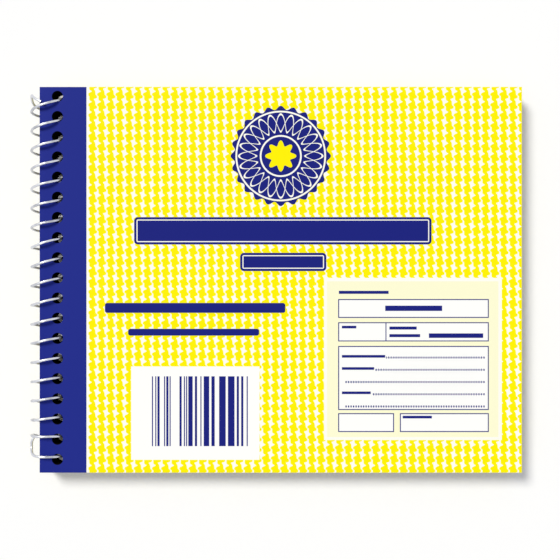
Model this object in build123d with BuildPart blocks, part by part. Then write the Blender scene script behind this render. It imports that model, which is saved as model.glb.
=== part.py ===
from build123d import *
import math
import os

# Duplicate receipt book: two-leaf sets between card covers, bound on a wire spiral.
# +X runs from the spine to the fore edge, +Y to the head and +Z up through the front cover.
# The origin is on the table, below the middle of the closed book and its spiral.

# Driving sizes in millimetres
COVER_WIDTH = 127.0
COVER_HEIGHT = 101.6
FRONT_THICKNESS = 0.26
BACK_THICKNESS = 0.40
SHIELD_THICKNESS = 0.20
LEAF_THICKNESS = 0.044
LEAF_AIR = 0.003  # between neighbouring sheets
SET_COUNT = 50
SETS_PER_BUNDLE = 7

HOLE_COUNT = 19
HOLE_PITCH = 5.31
HEAD_MARGIN = 2.5  # head edge to the middle of the first hole
HOLE_SETBACK = 4.7  # spine edge to the middle of the holes
HOLE_PLAY = 0.10  # between the wire and the wall of a hole
WIRE_DIAMETER = 0.70
SPINE_PLAY = 0.70  # between the wire and the corners of the spine
SURFACE_DRIFT = 0.20  # how far inside the hole's middle the wire breaks the surface

CREASE_SETBACK = 12.3  # spine edge to the fold of the front cover
PERFORATION_STEP = 1.7  # from that fold on to the perforation of the leaves
SCORE_WIDTH = 0.6
SCORE_DEPTH = 0.1
SHIELD_GAP = 2.0  # from the holes to the loose shield card
SHIELD_INSET = 1.0  # shield card inside the head and tail

# The outermost point of a turn leans along the spine, towards the head where it is above 0
FIRST_TURN_LEAN = -0.2
LAST_TURN_LEAN = 1.0

# Ends of the wire, in degrees round the spiral
HEAD_TAIL = 235.0
HEAD_TAIL_RETURN = 225.0  # where the bent end comes back level with its hole
FOOT_TAIL = 180.0
FOOT_TAIL_RETURN = 135.0
FULL_TURN = 360.0
QUARTER_TURN = 90.0

# Thickness of the closed book
leaf_pitch = LEAF_THICKNESS + LEAF_AIR
leaves_height = 2 * SET_COUNT * leaf_pitch
block_thickness = BACK_THICKNESS + SHIELD_THICKNESS + 2 * LEAF_AIR + leaves_height + FRONT_THICKNESS
half_block = block_thickness / 2

# Spiral: a circle that clears both spine corners and breaks both covers inside their holes
wire_radius = WIRE_DIAMETER / 2
corner_reach = wire_radius + SPINE_PLAY
surface_x = HOLE_SETBACK - SURFACE_DRIFT
corner_slope = corner_reach / surface_x
base_run = (surface_x**2 - corner_reach**2) / (2 * surface_x)
coil_root = math.sqrt((base_run * corner_slope) ** 2 + (1 - corner_slope**2) * (half_block**2 + base_run**2))
coil_radius = (base_run * corner_slope + coil_root) / (1 - corner_slope**2)
coil_inset = surface_x - base_run - corner_slope * coil_radius  # spine edge to the spiral's axis
coil_overhang = coil_radius + wire_radius - coil_inset

# Holes: wide enough for the wire, which crosses them on a slant
surface_angle = math.degrees(math.asin(half_block / coil_radius))
surface_reach = math.hypot(SURFACE_DRIFT, HOLE_PITCH * surface_angle / FULL_TURN)
middle_reach = coil_inset + coil_radius - HOLE_SETBACK
hole_radius = max(surface_reach, middle_reach) + math.sqrt(2) * wire_radius + HOLE_PLAY

# Places in the part's frame
spine_x = (coil_overhang - COVER_WIDTH) / 2
fore_x = spine_x + COVER_WIDTH
crease_x = spine_x + CREASE_SETBACK
perforation_x = crease_x + PERFORATION_STEP
coil_x = spine_x + coil_inset
hole_x = spine_x + HOLE_SETBACK
first_hole_y = COVER_HEIGHT / 2 - HEAD_MARGIN
last_hole_y = first_hole_y - HOLE_PITCH * (HOLE_COUNT - 1)
last_angle = FULL_TURN * (HOLE_COUNT - 1)
hole_places = [(hole_x, first_hole_y - HOLE_PITCH * index) for index in range(HOLE_COUNT)]
coil_z = coil_radius + wire_radius
back_level = coil_z - half_block
shield_level = back_level + BACK_THICKNESS + LEAF_AIR
leaf_base = shield_level + SHIELD_THICKNESS + LEAF_AIR
front_level = leaf_base + leaves_height
front_top = front_level + FRONT_THICKNESS


def duplicate_level(number):
    """Height of the underside of one set's lower leaf, with set 1 on top."""
    return leaf_base + 2 * (SET_COUNT - number) * leaf_pitch


def original_level(number):
    """Height of the underside of one set's upper leaf, which tears off."""
    return duplicate_level(number) + leaf_pitch


def save(piece, name):
    """Label a finished piece and write it to its own file."""
    piece.part.label = name
    export_step(piece.part, f"parts/{name}.step")


def sheet_outline(start_x, end_x, height=COVER_HEIGHT, punched=False):
    """Flat outline of a sheet between two lines across the book."""
    with BuildSketch() as outline:
        with Locations(((start_x + end_x) / 2, 0)):
            Rectangle(end_x - start_x, height)
        if punched:
            with Locations(*hole_places):
                Circle(hole_radius, mode=Mode.SUBTRACT)
    return outline.sketch


def save_sheets(name, outline, levels, thickness):
    """One sheet of the outline at each level, written as one node."""
    with BuildPart() as sheets:
        with BuildSketch(*[Plane.XY.offset(level) for level in levels]):
            add(outline)
        extrude(amount=thickness, clean=False)
    save(sheets, name)


def bent_end(turned, tail_return):
    """Rise of a bent wire end from its hole, and the rise per degree, after so many degrees."""
    rate = HOLE_PITCH / FULL_TURN
    return rate * turned * (1 - turned / tail_return), rate * (1 - 2 * turned / tail_return)


def leaning_turn(angle):
    """Lean of the wire along the spine, none in the holes, and the lean per degree."""
    growth = (LAST_TURN_LEAN - FIRST_TURN_LEAN) / last_angle
    turn_lean = FIRST_TURN_LEAN + growth * angle
    turn = math.radians(angle)
    share = (1 - math.cos(turn)) / 2
    return turn_lean * share, growth * share + turn_lean * math.radians(math.sin(turn)) / 2


def wire_point(angle):
    """Point and direction of the wire's middle line; angle 0 is in the first hole."""
    if angle < 0:
        rise, slope = bent_end(-angle, HEAD_TAIL_RETURN)
        y, y_rate = first_hole_y + rise, -slope
    elif angle > last_angle:
        rise, slope = bent_end(angle - last_angle, FOOT_TAIL_RETURN)
        y, y_rate = last_hole_y - rise, -slope
    else:
        rise, slope = leaning_turn(angle)
        y = first_hole_y - HOLE_PITCH * angle / FULL_TURN + rise
        y_rate = slope - HOLE_PITCH / FULL_TURN
    turn = math.radians(angle)
    point = Vector(coil_x + coil_radius * math.cos(turn), y, coil_z + coil_radius * math.sin(turn))
    way = Vector(-coil_radius * math.sin(turn), math.degrees(y_rate), coil_radius * math.cos(turn))
    return point, way.normalized()


def biarc(start, start_way, end, end_way):
    """Two arcs that leave start and reach end along the given directions."""
    chord = end - start
    spread = 2 * (1 - start_way.dot(end_way))
    along = chord.dot(start_way + end_way)
    reach = (math.sqrt(along**2 + spread * chord.dot(chord)) - along) / spread
    first_corner = start + start_way * reach
    second_corner = end - end_way * reach
    middle = (first_corner + second_corner) / 2
    TangentArc(start, middle, tangent=start_way)
    TangentArc(middle, end, tangent=second_corner - first_corner)


def wire_angles():
    """Angles where the wire's quarter turns meet, from the head end to the foot end."""
    head_steps = math.ceil(HEAD_TAIL / QUARTER_TURN)
    foot_steps = math.ceil(FOOT_TAIL / QUARTER_TURN)
    quarters = round((HOLE_COUNT - 1) * FULL_TURN / QUARTER_TURN)
    head = [-HEAD_TAIL * step / head_steps for step in range(head_steps, 0, -1)]
    turns = [QUARTER_TURN * step for step in range(quarters + 1)]
    foot = [turns[-1] + FOOT_TAIL * step / foot_steps for step in range(1, foot_steps + 1)]
    return head + turns + foot


def least_wire_gap(path):
    """Smallest gap between stretches of the wire that lie over half a turn apart."""
    samples_per_turn = 36
    count = samples_per_turn * (HOLE_COUNT + 1)
    points = [path @ (step / count) for step in range(count + 1)]
    gaps = []
    for index, point in enumerate(points):
        others = points[index + samples_per_turn // 2 : index + 2 * samples_per_turn]
        gaps += [(point - other).length for other in others]
    return min(gaps) - WIRE_DIAMETER


os.makedirs("parts", exist_ok=True)

# Back cover: stiff board, scored underneath where it bends
with BuildPart() as back_cover:
    with BuildSketch(Plane.XY.offset(back_level)):
        add(sheet_outline(spine_x, fore_x, punched=True))
    extrude(amount=BACK_THICKNESS)
    with BuildSketch(Plane.XY.offset(back_level)):
        with Locations((crease_x, 0)):
            Rectangle(SCORE_WIDTH, COVER_HEIGHT)
    extrude(amount=SCORE_DEPTH, mode=Mode.SUBTRACT)
save(back_cover, "back_cover")

# Writing shield: loose card that keeps the writing off the sets below
shield_x = hole_x + hole_radius + SHIELD_GAP
shield_outline = sheet_outline(shield_x, fore_x, COVER_HEIGHT - 2 * SHIELD_INSET)
save_sheets("writing_shield", shield_outline, [shield_level], SHIELD_THICKNESS)

# Front cover: the margin stays on the wire and the panel folds back along the crease
margin_outline = sheet_outline(spine_x, crease_x, punched=True)
panel_outline = sheet_outline(crease_x, fore_x)
save_sheets("front_cover_margin", margin_outline, [front_level], FRONT_THICKNESS)
save_sheets("front_cover", panel_outline, [front_level], FRONT_THICKNESS)

# First set: the receipt tears off its stub, and the duplicate bends along the same line
stub_outline = sheet_outline(spine_x, perforation_x, punched=True)
free_outline = sheet_outline(perforation_x, fore_x)
leaf_outline = sheet_outline(spine_x, fore_x, punched=True)
save_sheets("receipt_01", free_outline, [original_level(1)], LEAF_THICKNESS)
save_sheets("receipt_stub_01", stub_outline, [original_level(1)], LEAF_THICKNESS)
save_sheets("duplicate_01", free_outline, [duplicate_level(1)], LEAF_THICKNESS)
save_sheets("duplicate_margin_01", stub_outline, [duplicate_level(1)], LEAF_THICKNESS)

# All other sets, in bundles of whole leaves
for first in range(2, SET_COUNT + 1, SETS_PER_BUNDLE):
    last = min(first + SETS_PER_BUNDLE - 1, SET_COUNT)
    numbers = range(first, last + 1)
    span = f"{first:02d}_{last:02d}"
    originals = [original_level(number) for number in numbers]
    duplicates = [duplicate_level(number) for number in numbers]
    save_sheets(f"receipts_{span}", free_outline, originals, LEAF_THICKNESS)
    save_sheets(f"receipt_stubs_{span}", stub_outline, originals, LEAF_THICKNESS)
    save_sheets(f"duplicates_{span}", leaf_outline, duplicates, LEAF_THICKNESS)

# Spiral: one wire through every hole, with both ends bent back towards their neighbours
stations = [wire_point(angle) for angle in wire_angles()]
head_point, head_way = stations[0]
foot_point, foot_way = stations[-1]
with BuildPart() as spiral_wire:
    with BuildLine() as wire_path:
        Line(head_point - head_way * WIRE_DIAMETER, head_point)
        for here, there in zip(stations, stations[1:]):
            biarc(*here, *there)
        Line(foot_point, foot_point + foot_way * WIRE_DIAMETER)
    with BuildSketch(Plane(origin=wire_path.line @ 0, z_dir=wire_path.line % 0)):
        Circle(wire_radius)
    sweep()
save(spiral_wire, "spiral_wire")

print(f"block {block_thickness:.3f} thick, spiral radius {coil_radius:.3f}, hole radius {hole_radius:.3f}")
print(f"spine x {spine_x:.3f}, crease x {crease_x:.3f}, perforation x {perforation_x:.3f}")
print(f"back underside z {back_level:.3f}, front top z {front_top:.3f}, first receipt z {original_level(1):.3f}")
print(f"least gap of the wire to itself {least_wire_gap(wire_path.line):.3f}")
wire_length = sum(edge.length for edge in wire_path.edges())
wire_share = spiral_wire.part.volume / (math.pi * wire_radius**2 * wire_length)
print(f"wire {wire_length:.1f} long, volume over section times length {wire_share:.4f}")
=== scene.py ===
import bpy
import math
import random
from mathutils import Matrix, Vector


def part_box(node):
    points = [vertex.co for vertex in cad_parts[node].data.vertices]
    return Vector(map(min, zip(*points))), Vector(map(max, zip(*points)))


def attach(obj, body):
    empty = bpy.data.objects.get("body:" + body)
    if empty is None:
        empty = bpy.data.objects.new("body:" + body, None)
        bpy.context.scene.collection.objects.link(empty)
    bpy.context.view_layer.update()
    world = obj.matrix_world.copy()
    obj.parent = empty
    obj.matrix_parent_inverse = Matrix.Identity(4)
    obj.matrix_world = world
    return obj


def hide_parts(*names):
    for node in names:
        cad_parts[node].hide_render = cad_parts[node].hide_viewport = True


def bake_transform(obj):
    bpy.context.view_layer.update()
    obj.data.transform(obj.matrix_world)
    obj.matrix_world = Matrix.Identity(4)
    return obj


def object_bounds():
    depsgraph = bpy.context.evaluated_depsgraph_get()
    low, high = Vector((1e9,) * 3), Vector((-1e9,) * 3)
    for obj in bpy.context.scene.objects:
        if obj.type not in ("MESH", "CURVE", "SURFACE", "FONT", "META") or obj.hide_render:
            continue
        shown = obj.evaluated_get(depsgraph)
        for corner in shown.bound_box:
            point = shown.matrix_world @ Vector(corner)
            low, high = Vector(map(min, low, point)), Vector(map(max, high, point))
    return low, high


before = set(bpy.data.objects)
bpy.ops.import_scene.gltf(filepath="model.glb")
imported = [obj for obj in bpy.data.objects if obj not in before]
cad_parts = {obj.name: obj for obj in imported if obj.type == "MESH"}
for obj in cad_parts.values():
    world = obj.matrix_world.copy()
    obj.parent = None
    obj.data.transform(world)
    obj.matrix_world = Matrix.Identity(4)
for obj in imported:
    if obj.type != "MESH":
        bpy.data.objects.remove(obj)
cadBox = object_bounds()
mm = 0.001
mmPerMetre = 1 / mm
print("frame loaded with", len(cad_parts), "pieces")

# places in the closed book, all read from the frame
marginLow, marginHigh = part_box("front_cover_margin")
panelLow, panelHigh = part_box("front_cover")
stubLow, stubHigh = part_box("receipt_stub_01")
receiptLow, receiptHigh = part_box("receipt_01")
duplicateLow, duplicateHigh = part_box("duplicate_01")
wireLow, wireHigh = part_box("spiral_wire")
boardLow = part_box("back_cover")[0]
spineX, foreX = marginLow.x, panelHigh.x
footY, headY = panelLow.y, panelHigh.y
creaseX, perforationX = marginHigh.x, stubHigh.x
leafPitch = receiptLow.z - duplicateLow.z


def pickOnly(piece):
    bpy.ops.object.select_all(action="DESELECT")
    piece.select_set(True)
    bpy.context.view_layer.objects.active = piece


def useModifier(piece, kind, **settings):
    pickOnly(piece)
    modifier = piece.modifiers.new(kind.lower(), kind)
    for name, value in settings.items():
        setattr(modifier, name, value)
    bpy.ops.object.modifier_apply(modifier=modifier.name)


# shader maths: a socket that adds nodes as it is worked with
class Shade:
    def __init__(self, tree, socket=None):
        self.tree = tree
        self.socket = socket

    def node(self, kind, settings, inputs, output=0):
        made = self.tree.nodes.new(kind)
        for name, value in settings.items():
            if name == "stops":
                while len(made.color_ramp.elements) < len(value):
                    made.color_ramp.elements.new(1.0)
                for stop, (place, grey) in zip(made.color_ramp.elements, value):
                    stop.position = place
                    stop.color = (grey, grey, grey, 1.0)
            else:
                setattr(made, name, value)
        for name, value in inputs.items():
            if isinstance(value, Shade):
                self.tree.links.new(value.socket, made.inputs[name])
            else:
                made.inputs[name].default_value = value
        return Shade(self.tree, made.outputs[output])

    def other(self, output):
        return Shade(self.tree, self.socket.node.outputs[output])

    def calc(self, operation, first, second=0.0):
        return self.node("ShaderNodeMath", {"operation": operation}, {0: first, 1: second})

    def __add__(self, more):
        return self.calc("ADD", self, more)

    def __radd__(self, more):
        return self.calc("ADD", more, self)

    def __sub__(self, less):
        return self.calc("SUBTRACT", self, less)

    def __rsub__(self, start):
        return self.calc("SUBTRACT", start, self)

    def __mul__(self, times):
        return self.calc("MULTIPLY", self, times)

    def __rmul__(self, times):
        return self.calc("MULTIPLY", times, self)

    def __truediv__(self, parts):
        return self.calc("DIVIDE", self, parts)

    def __rtruediv__(self, start):
        return self.calc("DIVIDE", start, self)

    def __lt__(self, limit):
        return self.calc("LESS_THAN", self, limit)

    def __gt__(self, limit):
        return self.calc("GREATER_THAN", self, limit)

    def __abs__(self):
        return self.calc("ABSOLUTE", self)

    def most(self, second):
        return self.calc("MAXIMUM", self, second)

    def least(self, second):
        return self.calc("MINIMUM", self, second)

    def fraction(self):
        return self.calc("FRACT", self)


def ink(red, green, blue):  # screen colour, 0 to 255, as the shader's own values
    parts = [value / 255 for value in (red, green, blue)]
    return tuple(p / 12.92 if p <= 0.04045 else ((p + 0.055) / 1.055) ** 2.4 for p in parts) + (1.0,)


def newFinish(name, roughness=0.5, specular=0.5):
    finish = bpy.data.materials.new(name)
    finish.use_nodes = True
    surface = finish.node_tree.nodes["Principled BSDF"]
    surface.inputs["Roughness"].default_value = roughness
    surface.inputs["Specular IOR Level"].default_value = specular
    return finish, surface


def feed(surface, socket, shade):
    shade.tree.links.new(shade.socket, surface.inputs[socket])


def layOver(under, over, mask):
    return mask.node("ShaderNodeMix", {"data_type": "RGBA"}, {0: mask, 6: under, 7: over}, 2)


noiseSpan = (0.3, 0.7)  # most of a noise lies between these


def fineNoise(place, scale, detail=3.0, roughness=0.6):
    inputs = {"Vector": place, "Scale": scale, "Detail": detail, "Roughness": roughness}
    return place.node("ShaderNodeTexNoise", {}, inputs)


def inRange(value, low, high, newLow, newHigh):
    inputs = {"Value": value, "From Min": low, "From Max": high, "To Min": newLow, "To Max": newHigh}
    return value.node("ShaderNodeMapRange", {"clamp": True}, inputs)


def roughSkin(surface, height, strength, distance):
    feed(surface, "Normal", height.node("ShaderNodeBump", {}, {
        "Strength": strength, "Distance": distance, "Height": height}))


# x from the spine and y down from the head, in millimetres, on the flat map or the piece itself
def sheetPlace(finish, flatMap=None):
    start = Shade(finish.node_tree)
    if flatMap:
        place = start.node("ShaderNodeUVMap", {"uv_map": flatMap}, {})
    else:
        place = start.node("ShaderNodeTexCoord", {}, {}, "Object")
    parts = place.node("ShaderNodeSeparateXYZ", {}, {0: place})
    x = (parts - spineX) * mmPerMetre
    y = (headY - parts.other("Y")) * mmPerMetre
    return place, x, y


def boxGap(x, y, box, corner=0.0):  # how far outside a box, less than nothing inside it
    left, right, top, bottom = box
    across = abs(x - (left + right) / 2) - ((right - left) / 2 - corner)
    down = abs(y - (top + bottom) / 2) - ((bottom - top) / 2 - corner)
    if not corner:
        return across.most(down)
    clearX, clearY = across.most(0.0), down.most(0.0)
    outside = x.calc("SQRT", clearX * clearX + clearY * clearY)
    return outside + across.most(down).least(0.0) - corner


def nearest(gaps):
    closest = gaps[0]
    for gap in gaps[1:]:
        closest = closest.least(gap)
    return closest


# holes along the spine, in millimetres, as the leaves and covers are punched
holes = {
    "count": 19,
    "pitch": 5.31,
    "setback": 4.7,
    "headMargin": 2.5,
    "radius": 1.461,
    "sides": 40,
    "punchDepth": 2.0,
    "rim": 0.03,  # how far the painted shade of the wall reaches past the hole
    # painted shade: the colour the hole walls and the wire in them take, standing for the shadow in the
    # holes
    "wall": ink(26, 24, 22),
}


def paintedWallShade(x, y):  # painted shade on the wall of the nearest hole, dark as the holes' shadow
    across = x - holes["setback"]
    turn = ((y - holes["headMargin"]) / holes["pitch"] + 0.5).fraction()
    down = (turn - 0.5) * holes["pitch"]
    return x.calc("SQRT", across * across + down * down) < holes["radius"] + holes["rim"]


# tear line: a row of slits where each receipt leaves its stub, in millimetres, and the grey of the slits'
# painted shadow
tear = {"pitch": 1.0, "slit": 0.62, "width": 0.14, "cutDepth": 1.0, "shade": ink(176, 178, 184)}


# painted shadow of the slits: a grey dash for each slit along the tear line
def paintedSlitShadows(x, y):
    line = abs(x - (perforationX - spineX) * mmPerMetre) < tear["width"] / 2
    return line * (abs((y / tear["pitch"]).fraction() - 0.5) < tear["slit"] / tear["pitch"] / 2)


# receipt form: boxes, dotted lines to write on and short plain bars
# a box or bar is its left, right, top and bottom, in millimetres from the spine and the head of the cover
form = {
    "boxes": [(78.75, 118.15, 56.0, 60.7), (78.75, 91.2, 62.1, 66.9), (91.2, 118.15, 62.1, 66.9),
              (78.75, 118.15, 68.35, 84.95), (78.75, 93.2, 86.05, 90.75), (95.0, 118.15, 86.05, 90.75)],
    "bars": [(78.8, 91.9, 53.7, 54.5), (91.0, 106.0, 57.6, 59.0), (79.6, 83.4, 62.9, 63.6),
             (92.1, 99.3, 63.1, 63.9), (92.1, 100.2, 65.1, 65.9), (102.5, 116.8, 64.9, 66.1),
             (79.6, 91.0, 70.6, 71.3), (79.6, 88.1, 73.8, 74.5), (79.6, 87.2, 80.2, 80.9),
             (95.6, 103.3, 86.6, 87.3)],
    "dotStarts": [91.2, 88.2, 80.3, 87.5, 80.3],
    "dotEnd": 117.2,
    "firstRow": 71.27,
    "rowPitch": 3.22,
    "dotPitch": 0.66,
    "dotWidth": 0.37,
    "dotHeight": 0.52,
    "line": 0.26,
}


def printForm(x, y, colour, inkColour, boxColour):
    boxes = nearest([boxGap(x, y, box) for box in form["boxes"]])
    colour = layOver(colour, boxColour, boxes < 0.0)
    bars = nearest([boxGap(x, y, bar) for bar in form["bars"]])
    rows = []
    for number, left in enumerate(form["dotStarts"]):
        level = form["firstRow"] + form["rowPitch"] * number
        half = form["dotHeight"] / 2
        rows.append(boxGap(x, y, (left, form["dotEnd"], level - half, level + half)))
    dots = (nearest(rows) < 0.0) * ((x / form["dotPitch"]).fraction() < form["dotWidth"] / form["dotPitch"])
    marks = (abs(boxes) < form["line"] / 2).most(bars < 0.0).most(dots)
    return layOver(colour, inkColour, marks)


# printed cover: tooth check, plain spine band, rosette, blank plates, stripe label and a sample form
coverPrint = {
    "navy": ink(34, 45, 138),
    "printInk": ink(28, 35, 124),
    "plain": ink(255, 255, 252),
    "yellow": ink(255, 242, 0),
    "white": ink(255, 254, 243),
    "cream": ink(254, 252, 214),
    "gloss": 0.06,
    "grain": {"scale": 2600.0},
    "roughness": (0.48, 0.62),
    "bump": {"strength": 0.12, "distance": 0.02 * mm},
    "band": 12.35,
    "bandLine": 12.86,
    "checkStart": 13.02,
    "checkAcross": 2.407,
    "checkDown": 2.736,
    "checkTop": -0.12,
    # a tooth's two sides: how far down the check, and how far across it, both from 0 to 1
    "toothLeft": [(0.0, 0.155), (0.24, 0.15), (0.31, 0.175), (0.38, 0.26), (0.44, 0.4), (0.49, 0.41),
                  (0.57, 0.25), (0.63, 0.1), (0.7, 0.02), (0.76, 0.0), (0.83, 0.0), (0.88, 0.045),
                  (0.94, 0.145), (1.0, 0.155)],
    "toothRight": [(0.0, 1.0), (0.08, 0.995), (0.14, 0.92), (0.21, 0.655), (0.3, 0.675), (0.38, 0.755),
                   (0.46, 0.795), (0.62, 0.82), (0.77, 0.83), (0.83, 0.87), (0.89, 0.97), (0.95, 1.0),
                   (1.0, 1.0)],
    "toothShift": 0.12,
    "plates": [(24.9, 103.2, 34.3, 41.5), (52.8, 75.5, 43.7, 48.5)],
    "plateCorner": 1.0,
    "plateInset": 0.75,
    "plateLine": 0.26,
    "rules": [(17.2, 64.7, 56.9, 59.5), (23.3, 57.8, 63.7, 65.5)],
    "ruleCorner": 0.6,
    "label": (24.1, 57.9, 73.6, 98.2),
    "stripes": (28.8, 54.9, 76.2, 94.6),
    "stripeStep": 0.29,
    "stripesBare": 0.4,  # share of the steps left white
    "panelBorder": (74.9, 121.7, 50.3, 93.0),
    "panel": (75.7, 120.8, 51.2, 92.2),
}


def toothCheck(x, y):
    across = (x - coverPrint["checkStart"]) / coverPrint["checkAcross"] + coverPrint["toothShift"]
    across = across.fraction()
    down = ((y - coverPrint["checkTop"]) / coverPrint["checkDown"]).fraction()
    left = down.node("ShaderNodeValToRGB", {"stops": coverPrint["toothLeft"]}, {0: down})
    right = down.node("ShaderNodeValToRGB", {"stops": coverPrint["toothRight"]}, {0: down})
    return (across > left) * (across < right)


# rosette: a scalloped disc with two waves that cross between two rings, and a lobed middle
rosette = {
    "centre": (63.5, 18.2),
    "radius": 13.2,
    "scallops": 24.0,
    "scallopDepth": 0.5,
    "waves": 12.0,
    "waveRadius": 8.7,
    "waveHeight": 2.3,
    "waveLine": 0.52,
    "ringInset": 1.5,
    "innerRing": 5.3,
    "ringLine": 0.44,
    "lobes": 8.0,
    "lobeRadius": 3.4,
    "lobeHeight": 0.7,
}


def ripple(angle, count, height):  # an even wave round a circle
    return height * angle.calc("COSINE", angle * count)


def printRosette(x, y, colour):
    centreX, centreY = rosette["centre"]
    right, down = x - centreX, y - centreY
    radius = right.calc("SQRT", right * right + down * down)
    angle = right.calc("ARCTAN2", down, right)
    rim = rosette["radius"] - rosette["scallopDepth"]
    rim = rim + ripple(angle, rosette["scallops"], rosette["scallopDepth"])
    wave = ripple(angle, rosette["waves"], rosette["waveHeight"])
    middle = rosette["waveRadius"]
    lines = abs(radius - (middle + wave)).least(abs(radius - (middle - wave))) < rosette["waveLine"] / 2
    for ring in (rosette["radius"] - rosette["ringInset"], rosette["innerRing"]):
        lines = lines.most(abs(radius - ring) < rosette["ringLine"] / 2)
    lobes = rosette["lobeRadius"] + ripple(angle, rosette["lobes"], rosette["lobeHeight"])
    colour = layOver(colour, coverPrint["printInk"], radius < rim)
    colour = layOver(colour, coverPrint["white"], lines)
    return layOver(colour, coverPrint["yellow"], radius < lobes)


def coverFinish():
    finish, surface = newFinish("printedCard", specular=coverPrint["gloss"])
    place, x, y = sheetPlace(finish, "flat")
    white, plain, printInk = coverPrint["white"], coverPrint["plain"], coverPrint["printInk"]
    colour = layOver(white, coverPrint["yellow"], toothCheck(x, y))
    colour = printRosette(x, y, colour)
    plates = nearest([boxGap(x, y, box, coverPrint["plateCorner"]) for box in coverPrint["plates"]])
    colour = layOver(colour, printInk, plates < 0.0)
    colour = layOver(colour, white, abs(plates + coverPrint["plateInset"]) < coverPrint["plateLine"] / 2)
    rules = nearest([boxGap(x, y, box, coverPrint["ruleCorner"]) for box in coverPrint["rules"]])
    colour = layOver(colour, printInk, rules < 0.0)
    colour = layOver(colour, plain, boxGap(x, y, coverPrint["label"]) < 0.0)
    steps = x.calc("FLOOR", x / coverPrint["stripeStep"])
    chance = steps.node("ShaderNodeTexWhiteNoise", {"noise_dimensions": "1D"}, {"W": steps})
    stripes = (boxGap(x, y, coverPrint["stripes"]) < 0.0) * (chance > coverPrint["stripesBare"])
    colour = layOver(colour, printInk, stripes)
    colour = layOver(colour, white, boxGap(x, y, coverPrint["panelBorder"]) < 0.0)
    colour = layOver(colour, coverPrint["cream"], boxGap(x, y, coverPrint["panel"]) < 0.0)
    colour = printForm(x, y, colour, printInk, plain)
    colour = layOver(colour, white, x < coverPrint["bandLine"])
    colour = layOver(colour, coverPrint["navy"], x < coverPrint["band"])
    feed(surface, "Base Color", colour)
    grain = fineNoise(place, **coverPrint["grain"])
    feed(surface, "Roughness", inRange(grain, *noiseSpan, *coverPrint["roughness"]))
    roughSkin(surface, grain, **coverPrint["bump"])
    return finish


# papers and boards: a colour with faint fibres, flecks and mottling
paperLooks = {
    "coverInside": {"colour": ink(246, 246, 242), "fleck": ink(226, 226, 220), "roughness": 0.62},
    "coverEdge": {"colour": ink(240, 240, 234), "fleck": ink(205, 205, 198), "roughness": 0.8},
    "receiptPaper": {"colour": ink(252, 252, 249), "fleck": ink(238, 238, 234), "roughness": 0.7,
                     "box": ink(255, 255, 253), "torn": True},
    "duplicatePaper": {"colour": ink(253, 241, 150), "fleck": ink(244, 228, 128), "roughness": 0.7,
                       "box": ink(254, 245, 170)},
    "greyBoard": {"colour": ink(176, 170, 160), "fleck": ink(120, 114, 106), "roughness": 0.85},
    "shieldCard": {"colour": ink(226, 196, 140), "fleck": ink(196, 162, 106), "roughness": 0.75},
}
paperGrain = {
    "cloud": {"scale": 90.0, "detail": 4.0},
    "cloudSpan": (0.35, 0.7),
    "cloudShade": (0.0, 0.14),
    "fibre": {"scale": 1500.0, "detail": 5.0, "roughness": 0.7},
    "fibreSpan": (0.5, 0.75),
    "fibreShade": (0.0, 0.7),
    "bump": {"strength": 0.2, "distance": 0.03 * mm},
}

# printed leaves: the sample form again, as large as the leaf allows
leafPrint = {"ink": ink(52, 66, 158), "scale": 2.5, "left": 21.2, "top": 4.5}


def printLeaf(x, y, colour, boxColour):
    formX = (x - leafPrint["left"]) / leafPrint["scale"] + form["boxes"][0][0]
    formY = (y - leafPrint["top"]) / leafPrint["scale"] + form["bars"][0][2]
    return printForm(formX, formY, colour, leafPrint["ink"], boxColour)


def paperFinish(name, flatMap=None, printedOn=None):
    look = paperLooks[printedOn or name]
    finish, surface = newFinish(name, look["roughness"], specular=0.0)
    place, x, y = sheetPlace(finish, flatMap)
    cloud = fineNoise(place, **paperGrain["cloud"])
    fibre = fineNoise(place, **paperGrain["fibre"])
    mottle = inRange(cloud, *paperGrain["cloudSpan"], *paperGrain["cloudShade"])
    mottle = mottle + inRange(fibre, *paperGrain["fibreSpan"], *paperGrain["fibreShade"])
    colour = layOver(look["colour"], look["fleck"], mottle)
    if printedOn:
        colour = printLeaf(x, y, colour, look["box"])
    # painted shadow of the tear line's slits, on the receipt papers
    if look.get("torn"):
        colour = layOver(colour, tear["shade"], paintedSlitShadows(x, y))
    # painted shade: the hole walls are coloured dark as the shadow inside the holes
    feed(surface, "Base Color", layOver(colour, holes["wall"], paintedWallShade(x, y)))
    roughSkin(surface, fibre, **paperGrain["bump"])
    return finish


# wire's finish: bright and a little dulled, with painted shade, dark and matte, where it runs down inside
# the holes
wireLook = {
    "bright": ink(212, 214, 221),
    "dull": ink(156, 158, 167),
    "tarnish": {"scale": 420.0, "detail": 4.0},
    "tarnishSpan": (0.45, 0.75),
    "drawn": {"scale": 5200.0, "detail": 2.0},
    "roughness": (0.22, 0.36),
    "bump": {"strength": 0.05, "distance": 0.02 * mm},
    "shadeBelow": 0.9 * mm,  # painted shade is full this far under the front cover's face
    "shadeAbove": 1.0 * mm,  # and this far over the back board's underside
}


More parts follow.
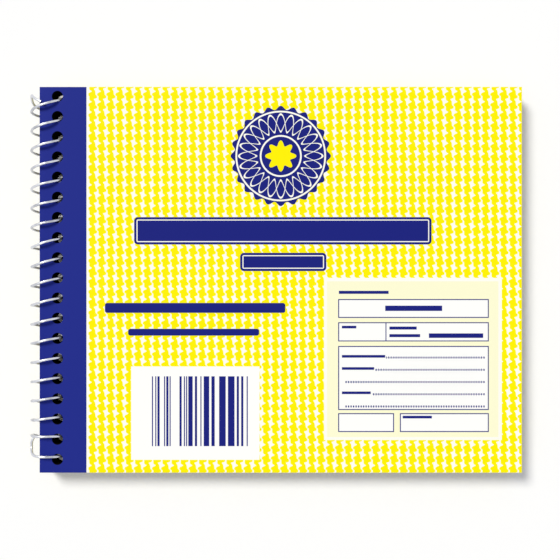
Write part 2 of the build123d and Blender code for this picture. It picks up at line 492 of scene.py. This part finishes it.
def wireFinish():
    finish, surface = newFinish("brightWire")
    place = Shade(finish.node_tree).node("ShaderNodeTexCoord", {}, {}, "Object")
    tarnish = inRange(fineNoise(place, **wireLook["tarnish"]), *wireLook["tarnishSpan"], 0.0, 1.0)
    drawn = fineNoise(place, **wireLook["drawn"])
    colour = layOver(wireLook["bright"], wireLook["dull"], tarnish)
    parts = place.node("ShaderNodeSeparateXYZ", {}, {0: place})
    level = parts.other("Z")
    # painted shade: the wire is dark and loses its gloss where it runs down inside the holes
    inHoleShade = inRange(level, panelHigh.z - wireLook["shadeBelow"], panelHigh.z, 1.0, 0.0)
    inHoleShade = inHoleShade * inRange(level, boardLow.z, boardLow.z + wireLook["shadeAbove"], 0.0, 1.0)
    inHoleShade = inHoleShade * (parts > spineX)
    feed(surface, "Base Color", layOver(colour, holes["wall"], inHoleShade))
    feed(surface, "Metallic", 1.0 - inHoleShade)
    rough = inRange(drawn, *noiseSpan, *wireLook["roughness"])
    feed(surface, "Roughness", rough + inHoleShade * (1.0 - rough))
    roughSkin(surface, drawn, **wireLook["bump"])
    return finish


print("finishes: card, paper, board and wire")
finishes = {
    "coverPrint": coverFinish(),
    "coverInside": paperFinish("coverInside", "flat"),
    "coverEdge": paperFinish("coverEdge", "flat"),
    "receiptPaper": paperFinish("receiptPaper"),
    "duplicatePaper": paperFinish("duplicatePaper", "flat"),
    "leafReceipt": paperFinish("receiptPrint", printedOn="receiptPaper"),
    "leafDuplicate": paperFinish("duplicatePrint", printedOn="duplicatePaper"),
    "firstDuplicate": paperFinish("duplicatePrintFlat", "flat", printedOn="duplicatePaper"),
    "greyBoard": paperFinish("greyBoard"),
    "shieldCard": paperFinish("shieldCard"),
    "wire": wireFinish(),
}

# sheets: a card blank cut to size, scored by bisecting, punched and dressed on its three kinds of face
sheetShape = {"flatNormal": 0.9, "smoothAngle": 20.0}


def blankCard(name, low, high):
    bpy.ops.object.select_all(action="DESELECT")
    bpy.ops.mesh.primitive_cube_add(size=1, calc_uvs=False, location=(low + high) / 2, scale=high - low)
    card = bpy.context.object
    card.name = name
    bpy.ops.object.transform_apply(location=True, rotation=True, scale=True)
    return card


def scoreFold(card, start, length, steps):  # lines across the sheet for it to bend at
    pickOnly(card)
    bpy.ops.object.mode_set(mode="EDIT")
    for number in range(steps + 1):
        bpy.ops.mesh.select_all(action="SELECT")
        bpy.ops.mesh.bisect(plane_co=(start + length / steps * number, 0, 0), plane_no=(1, 0, 0))
    bpy.ops.object.mode_set(mode="OBJECT")


def cutRow(card, punch, count, pitch):  # a row of like cuts down the sheet, from the head
    bpy.ops.object.transform_apply(location=True, rotation=True, scale=True)
    useModifier(punch, "ARRAY", count=count, use_relative_offset=False,
                use_constant_offset=True, constant_offset_displace=(0, -pitch, 0))
    useModifier(card, "BOOLEAN", object=punch, operation="DIFFERENCE", solver="EXACT")
    bpy.data.objects.remove(punch)


def punchHoles(card, level):
    bpy.ops.object.select_all(action="DESELECT")
    bpy.ops.mesh.primitive_cylinder_add(
        vertices=holes["sides"], radius=holes["radius"] * mm, depth=holes["punchDepth"] * mm,
        location=(spineX + holes["setback"] * mm, headY - holes["headMargin"] * mm, level))
    cutRow(card, bpy.context.object, holes["count"], holes["pitch"] * mm)


def perforate(sheet, level):
    bpy.ops.object.select_all(action="DESELECT")
    bpy.ops.mesh.primitive_cube_add(
        size=1, calc_uvs=False, location=(perforationX, headY - tear["pitch"] / 2 * mm, level),
        scale=(tear["width"] * mm, tear["slit"] * mm, tear["cutDepth"] * mm))
    cutRow(sheet, bpy.context.object, int((headY - footY) / (tear["pitch"] * mm)), tear["pitch"] * mm)


def dressSheet(sheet, top, under, edge):
    sheet.data.materials.clear()
    for finish in (top, under, edge):
        sheet.data.materials.append(finish)
    flat = sheetShape["flatNormal"]
    for face in sheet.data.polygons:
        face.material_index = 0 if face.normal.z > flat else 1 if face.normal.z < -flat else 2
    flatMap = sheet.data.uv_layers.new(name="flat")
    for corner in sheet.data.loops:
        flatMap.data[corner.index].uv = sheet.data.vertices[corner.vertex_index].co.xy
    pickOnly(sheet)
    bpy.ops.object.shade_smooth_by_angle(angle=math.radians(sheetShape["smoothAngle"]))


# front cover: one printed card from the spine to the fore edge, scored for a fold beside its band
cover = {"foldLength": 0.6 * mm, "foldSteps": 12, "edgeEase": 0.03 * mm, "easeSegments": 2}


def makeCover():
    card = blankCard("printed_cover", Vector((spineX, footY, panelLow.z)), panelHigh)
    scoreFold(card, creaseX, cover["foldLength"], cover["foldSteps"])
    punchHoles(card, panelLow.z)
    useModifier(card, "BEVEL", width=cover["edgeEase"], segments=cover["easeSegments"],
                limit_method="ANGLE")
    dressSheet(card, finishes["coverPrint"], finishes["coverInside"], finishes["coverEdge"])
    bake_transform(card)
    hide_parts("front_cover", "front_cover_margin")
    print("front cover:", len(card.data.polygons), "faces")


# first set: a receipt that tears along its perforation, and the bound copy below it
bend = {"length": 1.0 * mm, "steps": 10}


def makeFirstSet():
    receipt = blankCard("first_receipt_leaf", receiptLow, receiptHigh)
    perforate(receipt, receiptLow.z)
    dressSheet(receipt, finishes["leafReceipt"], finishes["receiptPaper"], finishes["receiptPaper"])
    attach(receipt, "first_receipt")
    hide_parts("receipt_01")

    stub = blankCard("first_receipt_stub", stubLow, stubHigh)
    punchHoles(stub, stubLow.z)
    perforate(stub, stubLow.z)
    dressSheet(stub, finishes["receiptPaper"], finishes["receiptPaper"], finishes["receiptPaper"])
    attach(stub, "book_block")
    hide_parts("receipt_stub_01")

    copy = blankCard("first_duplicate_leaf", Vector((spineX, footY, duplicateLow.z)), duplicateHigh)
    scoreFold(copy, perforationX, bend["length"], bend["steps"])
    punchHoles(copy, duplicateLow.z)
    dressSheet(copy, finishes["firstDuplicate"], finishes["duplicatePaper"], finishes["duplicatePaper"])
    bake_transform(copy)
    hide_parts("duplicate_01", "duplicate_margin_01")
    print("first set: receipt, stub and copy")


# other sets: the CAD leaves, each knocked a little out of true at its cut edges
pad = {
    "jog": 0.14 * mm,
    "weld": 1e-7,  # metres
    "levelSlack": 0.02,  # share of the leaf pitch, for points a hair under their leaf's level
    "seed": 41,
}


def loosenLeaves(node, finish):
    leaves = bpy.data.objects.new(node + "_leaves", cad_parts[node].data.copy())
    bpy.context.scene.collection.objects.link(leaves)
    leaves.data.materials.clear()
    leaves.data.materials.append(finish)
    pickOnly(leaves)
    bpy.ops.object.mode_set(mode="EDIT")
    bpy.ops.mesh.select_all(action="SELECT")
    bpy.ops.mesh.remove_doubles(threshold=pad["weld"])
    bpy.ops.object.mode_set(mode="OBJECT")
    chance = random.Random(pad["seed"] + len(node) + int(node[-2:]))
    knocks = {}
    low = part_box(node)[0].z
    for vertex in leaves.data.vertices:
        sheet = int((vertex.co.z - low) / leafPitch + pad["levelSlack"])
        if sheet not in knocks:
            knocks[sheet] = [chance.uniform(0.0, pad["jog"]) for edge in range(4)]
        fore, spine, head, foot = knocks[sheet]
        if vertex.co.x > foreX - pad["weld"]:
            vertex.co.x -= fore
        if vertex.co.x < spineX + pad["weld"]:
            vertex.co.x += spine
        if vertex.co.y > headY - pad["weld"]:
            vertex.co.y -= head
        if vertex.co.y < footY + pad["weld"]:
            vertex.co.y += foot
    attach(leaves, "book_block")
    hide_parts(node)


def makePad():
    for node in sorted(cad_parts):
        if node.startswith("receipts_"):
            loosenLeaves(node, finishes["leafReceipt"])
        elif node.startswith("receipt_stubs_"):
            loosenLeaves(node, finishes["receiptPaper"])
        elif node.startswith("duplicates_"):
            loosenLeaves(node, finishes["leafDuplicate"])
    print("pad: leaves of sets 2 to 50")


# spiral: one bright wire through every hole, its turns leaning and its ends bent back on the spine
# leans and rises are millimetres towards the head, angles are degrees round the coil
wire = {
    "thickness": 0.70 * mm,
    "stepsPerTurn": 24,
    "lean": (-0.68, 1.38),  # at the head and at the foot, as the next pair
    "held": (1.0, 0.8),  # how firmly the holes hold a turn
    "leanPower": 1.28,  # over 1, so the lean grows faster near the foot
    "heldAt": -27.0,  # where round the coil they hold it
    "lastPull": 1.0,  # more rise on the far side of the last turn
    "twist": 0.35,  # closes the turns up into hairpins
    "twistFrom": 6.3,  # turns from the head
    "press": 0.4 * mm,  # towards the inner side of the holes
    # each point of an end's hook is its angle and rise, and at the foot how far it tucks inside the coil
    "headHook": [(-262, -1.7), (-250, -1.25), (-238, -0.8), (-226, -0.3), (-214, 0.2), (-205, 0.42),
                 (-196, 0.3), (-184, -0.35), (-168, -1.3), (-145, -2.0), (-115, -2.2), (-85, -1.7),
                 (-55, -0.85), (-28, -0.35)],
    "footHook": [(22, 0.55, 0.0), (45, 0.75, 0.0), (70, 0.88, 0.0), (95, 0.92, 0.0), (116, 0.95, 0.0),
                 (135, 1.1, 0.0), (148, 1.5, 0.0), (157, 2.1, 0.0), (163, 2.8, 0.0), (165, 3.6, 0.0),
                 (165, 4.35, 0.08), (165, 4.95, 0.3), (165, 5.45, 0.62), (165, 5.7, 0.92)],
    "stepsBetween": 3,  # from one point of the route to the next
    "roundness": 5,
    "smoothAngle": 50.0,
}


def between(ends, share):
    return ends[0] + (ends[1] - ends[0]) * share


def wireRoute():  # degrees round the coil, millimetres down from the first hole and in from the coil
    lastAngle = 360 * (holes["count"] - 1)
    step = 360 // wire["stepsPerTurn"]
    route = [(angle, -rise, 0.0) for angle, rise in wire["headHook"]]
    for angle in range(0, lastAngle + 1, step):
        share = angle / lastAngle
        lean = between(wire["lean"], share ** wire["leanPower"])
        held = between(wire["held"], share)
        twist = wire["twist"] * min(1.0, max(0.0, angle / 360 - wire["twistFrom"]))
        rise = lean * (1 - held * math.cos(math.radians(angle - wire["heldAt"])))
        rise += twist * math.sin(math.radians(2 * angle))
        if angle > lastAngle - 360:
            rise += wire["lastPull"] * (1 - math.cos(math.radians(angle))) / 2
        route.append((angle, holes["pitch"] * angle / 360 - rise, 0.0))
    lastHole = holes["pitch"] * (holes["count"] - 1)
    return route + [(angle, lastHole - rise, inset) for angle, rise, inset in wire["footHook"]]


def makeSpiral():
    coilRadius = (wireHigh.z - wireLow.z - wire["thickness"]) / 2
    coilZ = (wireHigh.z + wireLow.z) / 2
    coilX = wireLow.x + wire["thickness"] / 2 + coilRadius
    line = bpy.data.curves.new("spiral", "CURVE")
    line.dimensions = "3D"
    line.resolution_u = wire["stepsBetween"]
    run = line.splines.new("BEZIER")
    route = wireRoute()
    run.bezier_points.add(len(route) - 1)
    for point, (angle, down, inset) in zip(run.bezier_points, route):
        turn = math.radians(angle)
        radius = coilRadius - inset * mm
        pressed = wire["press"] * math.sin(2 * turn) ** 2 if math.cos(turn) > 0 else 0.0
        point.co = (coilX + radius * math.cos(turn) + pressed, headY - (holes["headMargin"] + down) * mm,
                    coilZ + radius * math.sin(turn))
        point.handle_left_type = point.handle_right_type = "AUTO"
    line.bevel_depth = wire["thickness"] / 2
    line.bevel_resolution = wire["roundness"]
    line.use_fill_caps = True
    spiral = bpy.data.objects.new("binding_spiral", line)
    bpy.context.scene.collection.objects.link(spiral)
    pickOnly(spiral)
    bpy.ops.object.convert(target="MESH")
    spiral = bpy.context.object
    spiral.data.materials.append(finishes["wire"])
    bpy.ops.object.shade_smooth_by_angle(angle=math.radians(wire["smoothAngle"]))
    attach(spiral, "book_block")
    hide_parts("spiral_wire")
    print("spiral:", len(spiral.data.polygons), "faces")


def dressNode(node, finish):
    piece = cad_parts[node]
    piece.data.materials.clear()
    piece.data.materials.append(finish)


makeCover()
makeFirstSet()
makePad()
makeSpiral()
dressNode("back_cover", finishes["greyBoard"])
dressNode("writing_shield", finishes["shieldCard"])
print("back board and writing shield: finished as they are")


# studio: white floor, soft light from the upper left, and a camera straight above
studio = {
    "floorSize": 4.0,
    "floorColour": (0.995, 0.995, 0.995, 1.0),
    "floorRoughness": 0.9,
    "backdrop": (1.0, 1.0, 1.0, 1.0),
    "skyLevel": 0.47,
    "skyColour": (0.96, 0.98, 1.05, 1.0),
    "sunLevel": 2.17,
    "sunColour": (1.04, 1.02, 0.95),
    "sunSpread": 19.0,
    "sunFrom": (-0.58, 0.6, 1.0),
    "lens": 52.0,
    "sensor": 36.0,
    "farthest": 10.0,
    "frameWidth": 147.45 * mm,
    "frameShift": (-0.2 * mm, -0.05 * mm),
}


def makeFloor():
    bpy.ops.object.select_all(action="DESELECT")
    bpy.ops.mesh.primitive_plane_add(size=studio["floorSize"], location=(0, 0, cadBox[0].z))
    floor = bpy.context.object
    floor.name = "studioFloor"
    finish, surface = newFinish("paleFloor", studio["floorRoughness"], specular=0.0)
    surface.inputs["Base Color"].default_value = studio["floorColour"]
    floor.data.materials.append(finish)


def makeLight():
    world = bpy.data.worlds.new("softSky")
    bpy.context.scene.world = world
    world.use_nodes = True
    background = world.node_tree.nodes["Background"]
    ray = Shade(world.node_tree).node("ShaderNodeLightPath", {}, {}, "Is Camera Ray")
    seen = ray.most(ray.other("Is Glossy Ray")).most(ray.other("Is Transmission Ray"))
    feed(background, "Color", layOver(studio["skyColour"], studio["backdrop"], seen))
    feed(background, "Strength", studio["skyLevel"] + seen * (1.0 - studio["skyLevel"]))

    bpy.ops.object.light_add(type="SUN", location=studio["sunFrom"])
    sun = bpy.context.object
    sun.name = "softWindow"
    sun.data.energy = studio["sunLevel"]
    sun.data.color = studio["sunColour"]
    sun.data.angle = math.radians(studio["sunSpread"])
    sun.rotation_euler = Vector(studio["sunFrom"]).to_track_quat("Z", "Y").to_euler()


def makeCamera():
    centreX = (spineX + foreX) / 2 + studio["frameShift"][0]
    centreY = (footY + headY) / 2 + studio["frameShift"][1]
    distance = studio["frameWidth"] * studio["lens"] / studio["sensor"]
    bpy.ops.object.camera_add(location=(centreX, centreY, panelHigh.z + distance), rotation=(0, 0, 0))
    camera = bpy.context.object
    camera.name = "straightAbove"
    camera.data.lens = studio["lens"]
    camera.data.sensor_width = studio["sensor"]
    camera.data.clip_end = studio["farthest"]
    bpy.context.scene.camera = camera
    bpy.context.scene.view_settings.view_transform = "Standard"


makeFloor()
makeLight()
makeCamera()
print("studio: floor, light and camera")
